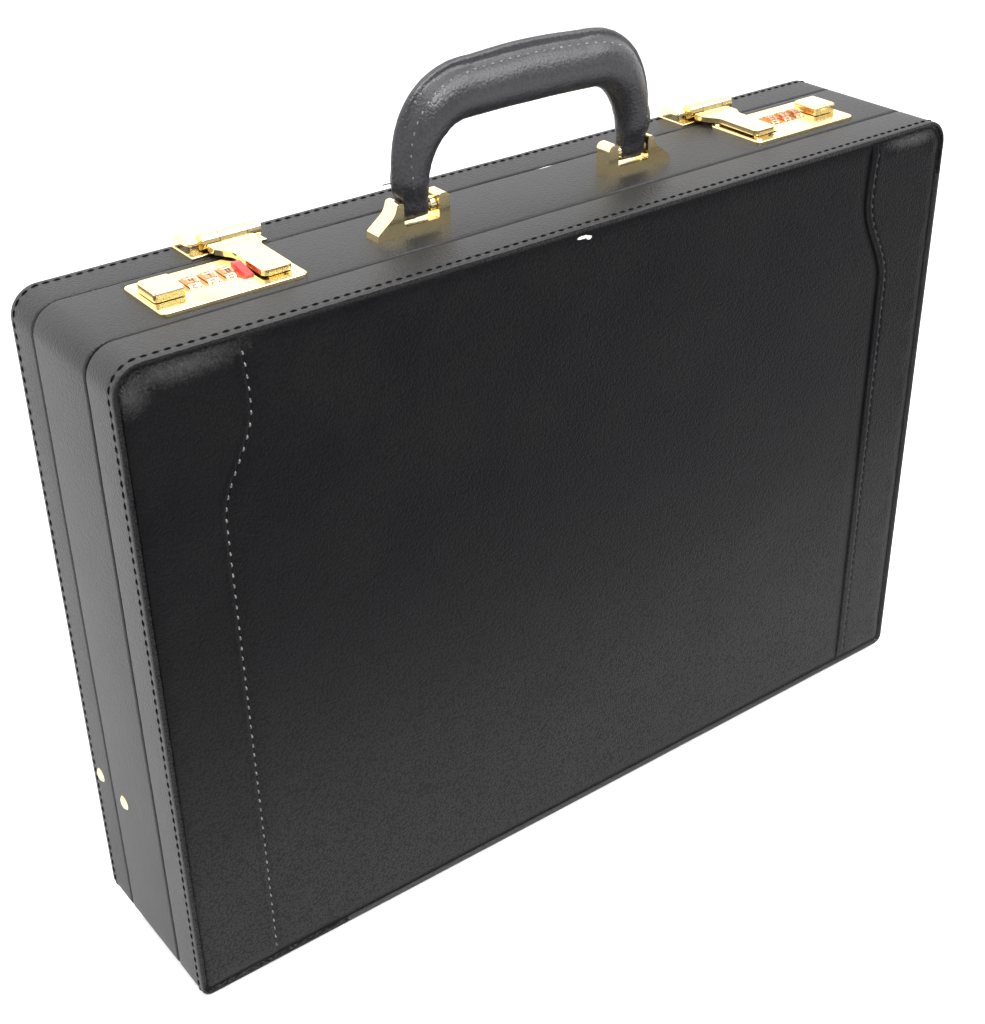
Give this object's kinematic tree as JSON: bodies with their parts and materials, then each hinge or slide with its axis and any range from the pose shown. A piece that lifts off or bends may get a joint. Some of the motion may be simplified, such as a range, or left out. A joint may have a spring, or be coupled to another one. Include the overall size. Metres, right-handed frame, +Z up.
{
  "type": "attache briefcase",
  "caption": "Rigid expanding leather attache case with a hinged lid, brass combination locks with hasps, a swinging padded handle and folding lid stays.",
  "frame": {"origin": "on the floor under the middle of the closed case", "axes": "+Z up through the handle, -Y out of the front face with the expanding tray, +X across the case to the right"},
  "size_m": [0.4586, 0.094, 0.3941],
  "materials": {
    "case_leather": "black fine-grained leather, satin, stitched in black",
    "handle_leather": "smooth black leather, more polished than the case",
    "pocket_leather": "thin black leather",
    "lining_suede": "brown suede-like lining",
    "gusset_fabric": "black woven cloth",
    "frame_wood": "bare plywood",
    "plate_brass": "polished brass plating",
    "rivet_brass": "polished brass plating",
    "valance_brass": "satin brass plating",
    "hinge_brass": "satin brass plating",
    "dial_copper": "copper-coloured plating",
    "tab_red": "glossy red",
    "inner_steel": "plain zinc-plated steel"
  },
  "bodies": {
    "base": {"base_frame": "frame_wood", "base_leather": "case_leather", "base_valance": "valance_brass", "expansion_gusset": "gusset_fabric", "left_lock_plate": "plate_brass", "right_lock_plate": "plate_brass", "left_lock_housing": "inner_steel", "right_lock_housing": "inner_steel", "dial_axles": "inner_steel", "handle_fixings": "inner_steel", "lock_rivets": "rivet_brass", "base_stay_rivets": "rivet_brass", "lock_tab": "tab_red", "left_handle_bracket": "plate_brass", "right_handle_bracket": "plate_brass", "base_hinge_leaf": "hinge_brass", "hinge_pin": "hinge_brass", "lock_cover": "lining_suede"},
    "tray": {"tray_frame": "frame_wood", "tray_board": "frame_wood", "tray_leather": "case_leather", "front_centre_leather": "case_leather", "front_left_leather": "case_leather", "front_right_leather": "case_leather", "tray_lining": "lining_suede", "tray_feet": "rivet_brass"},
    "lid": {"lid_frame": "frame_wood", "lid_board": "frame_wood", "lid_leather": "case_leather", "back_centre_leather": "case_leather", "back_left_leather": "case_leather", "back_right_leather": "case_leather", "lid_valance": "valance_brass", "lid_lining": "lining_suede", "file_pocket": "pocket_leather", "card_pockets": "pocket_leather", "pen_loops": "pocket_leather", "lid_hinge_leaf": "hinge_brass", "left_hasp_base": "plate_brass", "right_hasp_base": "plate_brass", "lid_stay_rivets": "rivet_brass", "lid_feet": "rivet_brass"},
    "handle": {"handle_grip": "handle_leather", "handle_core": "inner_steel"},
    "left_hasp": {"left_hasp_arm": "plate_brass"},
    "left_release": {"left_button": "plate_brass"},
    "left_stay_lower": {"left_stay_base_arm": "plate_brass"},
    "left_stay_upper": {"left_stay_lid_arm": "plate_brass"},
    "left_wheel_1": {"left_dial_1": "dial_copper"},
    "left_wheel_2": {"left_dial_2": "dial_copper"},
    "left_wheel_3": {"left_dial_3": "dial_copper"},
    "right_hasp": {"right_hasp_arm": "plate_brass"},
    "right_release": {"right_button": "plate_brass"},
    "right_stay_lower": {"right_stay_base_arm": "plate_brass"},
    "right_stay_upper": {"right_stay_lid_arm": "plate_brass"},
    "right_wheel_1": {"right_dial_1": "dial_copper"},
    "right_wheel_2": {"right_dial_2": "dial_copper"},
    "right_wheel_3": {"right_dial_3": "dial_copper"}
  },
  "joints": [
    {"name": "lid_open", "type": "hinge", "parent": "base", "child": "lid", "pos_m": [0, 0.025, 0.0028], "axis": [-1, 0, 0], "range_deg": [0, 95]},
    {"name": "tray_slide", "type": "slide", "parent": "base", "child": "tray", "axis": [0, -1, 0], "range_m": [0, 0.025], "deforming": ["expansion_gusset"]},
    {"name": "handle_swing", "type": "hinge", "parent": "base", "child": "handle", "pos_m": [-0.0036, -0.0023, 0.3329], "axis": [1, 0, 0], "range_deg": [-85, 85]},
    {"name": "left_hasp_swing", "type": "hinge", "parent": "lid", "child": "left_hasp", "pos_m": [-0.1365, 0.031, 0.3285], "axis": [-1, 0, 0], "range_deg": [0, 110]},
    {"name": "left_button_slide", "type": "slide", "parent": "base", "child": "left_release", "axis": [-1, 0, 0], "range_m": [0, 0.005], "stiffness_N_per_m": 150, "springref_m": -0.004},
    {"name": "left_dial_1_turn", "type": "hinge", "parent": "base", "child": "left_wheel_1", "pos_m": [-0.153, 0.0023, 0.3215], "axis": [1, 0, 0], "continuous": true},
    {"name": "left_dial_2_turn", "type": "hinge", "parent": "base", "child": "left_wheel_2", "pos_m": [-0.1612, 0.0023, 0.3215], "axis": [1, 0, 0], "continuous": true},
    {"name": "left_dial_3_turn", "type": "hinge", "parent": "base", "child": "left_wheel_3", "pos_m": [-0.1694, 0.0023, 0.3215], "axis": [1, 0, 0], "continuous": true},
    {"name": "left_stay_lower_turn", "type": "hinge", "parent": "base", "child": "left_stay_lower", "pos_m": [-0.2176, 0.0125, 0.0795], "axis": [-1, 0, 0], "range_deg": [0, 95]},
    {"name": "left_stay_knee_turn", "type": "hinge", "parent": "left_stay_lower", "child": "left_stay_upper", "pos_m": [-0.2161, 0.025, 0.1562], "axis": [-1, 0, 0], "range_deg": [-95, 0]},
    {"name": "right_hasp_swing", "type": "hinge", "parent": "lid", "child": "right_hasp", "pos_m": [0.1365, 0.031, 0.3285], "axis": [-1, 0, 0], "range_deg": [0, 110]},
    {"name": "right_button_slide", "type": "slide", "parent": "base", "child": "right_release", "axis": [1, 0, 0], "range_m": [0, 0.005], "stiffness_N_per_m": 150, "springref_m": -0.004},
    {"name": "right_dial_1_turn", "type": "hinge", "parent": "base", "child": "right_wheel_1", "pos_m": [0.153, 0.0023, 0.3215], "axis": [1, 0, 0], "continuous": true},
    {"name": "right_dial_2_turn", "type": "hinge", "parent": "base", "child": "right_wheel_2", "pos_m": [0.1612, 0.0023, 0.3215], "axis": [1, 0, 0], "continuous": true},
    {"name": "right_dial_3_turn", "type": "hinge", "parent": "base", "child": "right_wheel_3", "pos_m": [0.1694, 0.0023, 0.3215], "axis": [1, 0, 0], "continuous": true},
    {"name": "right_stay_lower_turn", "type": "hinge", "parent": "base", "child": "right_stay_lower", "pos_m": [0.2176, 0.0125, 0.0795], "axis": [-1, 0, 0], "range_deg": [0, 95]},
    {"name": "right_stay_knee_turn", "type": "hinge", "parent": "right_stay_lower", "child": "right_stay_upper", "pos_m": [0.2161, 0.025, 0.1562], "axis": [-1, 0, 0], "range_deg": [-95, 0]}
  ],
  "couplings": [
    {"joint": "left_stay_lower_turn", "follows": "lid_open", "ratio": 1},
    {"joint": "left_stay_knee_turn", "follows": "lid_open", "ratio": -1},
    {"joint": "right_stay_lower_turn", "follows": "lid_open", "ratio": 1},
    {"joint": "right_stay_knee_turn", "follows": "lid_open", "ratio": -1}
  ]
}
